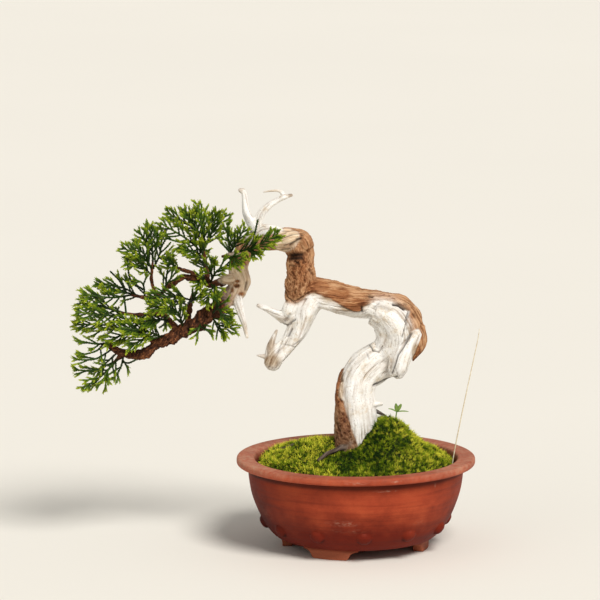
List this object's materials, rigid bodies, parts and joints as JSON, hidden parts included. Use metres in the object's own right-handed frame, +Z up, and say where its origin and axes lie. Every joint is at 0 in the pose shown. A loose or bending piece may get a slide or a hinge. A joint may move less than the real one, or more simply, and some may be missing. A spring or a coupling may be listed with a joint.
{
  "type": "itoigawa juniper bonsai",
  "caption": "Small leaning juniper bonsai with bleached deadwood and scale-leaf sprays, in a round unglazed clay pot on bracket feet.",
  "frame": {"origin": "middle of the bounding box at the bottom, where the pot's feet stand; the pot's own axis is at x = 0.040", "axes": "+X to the viewer's right as the tree is shown, away from its foliage; +Y away from the viewer; +Z up"},
  "size_m": [0.204, 0.1198, 0.1814],
  "materials": {
    "unglazed_clay": "unglazed red-brown clay, matt with a dull sheen, wiped, scuffed and chalky in places",
    "net_plastic": "black plastic net",
    "granular_soil": "baked clay and pumice grains, 1 to 3 mm, matt",
    "moss": "living moss, upright yellow-green shoots",
    "juniper_wood": "bleached, fluted deadwood, with live veins of smooth red-brown bark and flaky bark on the branch",
    "juniper_leaf": "scale leaves on cord-like shoots, satin green with bright yellow-green tips",
    "seedling_leaf": "thin soft seed leaves, satin",
    "straw": "dry grass stalk, matt"
  },
  "bodies": {
    "root": {"drain_screen": "net_plastic", "dry_stalk": "straw", "moss": "moss", "pot": "unglazed_clay", "seedling": "seedling_leaf", "soil": "granular_soil", "spray_arm_back": "juniper_leaf", "spray_arm_tip": "juniper_leaf", "spray_arm_under": "juniper_leaf", "spray_arm_up": "juniper_leaf", "spray_drop_back": "juniper_leaf", "spray_drop_front": "juniper_leaf", "spray_drop_long": "juniper_leaf", "spray_drop_low": "juniper_leaf", "spray_drop_right": "juniper_leaf", "spray_drop_side": "juniper_leaf", "spray_drop_upper": "juniper_leaf", "spray_high_back": "juniper_leaf", "spray_high_left": "juniper_leaf", "spray_high_low": "juniper_leaf", "spray_high_right": "juniper_leaf", "spray_high_side": "juniper_leaf", "spray_high_thin": "juniper_leaf", "spray_high_top": "juniper_leaf", "spray_inner_back": "juniper_leaf", "spray_inner_front": "juniper_leaf", "spray_inner_left": "juniper_leaf", "spray_left_front": "juniper_leaf", "spray_left_lower": "juniper_leaf", "spray_left_lower_back": "juniper_leaf", "spray_left_middle": "juniper_leaf", "spray_left_middle_back": "juniper_leaf", "spray_left_top": "juniper_leaf", "spray_left_top_back": "juniper_leaf", "spray_left_upper": "juniper_leaf", "spray_low_bright": "juniper_leaf", "spray_low_long": "juniper_leaf", "spray_middle_back": "juniper_leaf", "spray_middle_down": "juniper_leaf", "spray_middle_front": "juniper_leaf", "spray_middle_left": "juniper_leaf", "spray_middle_right": "juniper_leaf", "spray_middle_tip": "juniper_leaf", "spray_right_back": "juniper_leaf", "spray_right_drop": "juniper_leaf", "spray_right_low": "juniper_leaf", "spray_right_up": "juniper_leaf", "spray_shelf_back": "juniper_leaf", "spray_shelf_lower": "juniper_leaf", "spray_shelf_upper": "juniper_leaf", "spray_top_back": "juniper_leaf", "spray_top_left": "juniper_leaf", "spray_top_low": "juniper_leaf", "spray_top_middle": "juniper_leaf", "spray_top_right": "juniper_leaf", "trunk": "juniper_wood"}
  },
  "joints": []
}
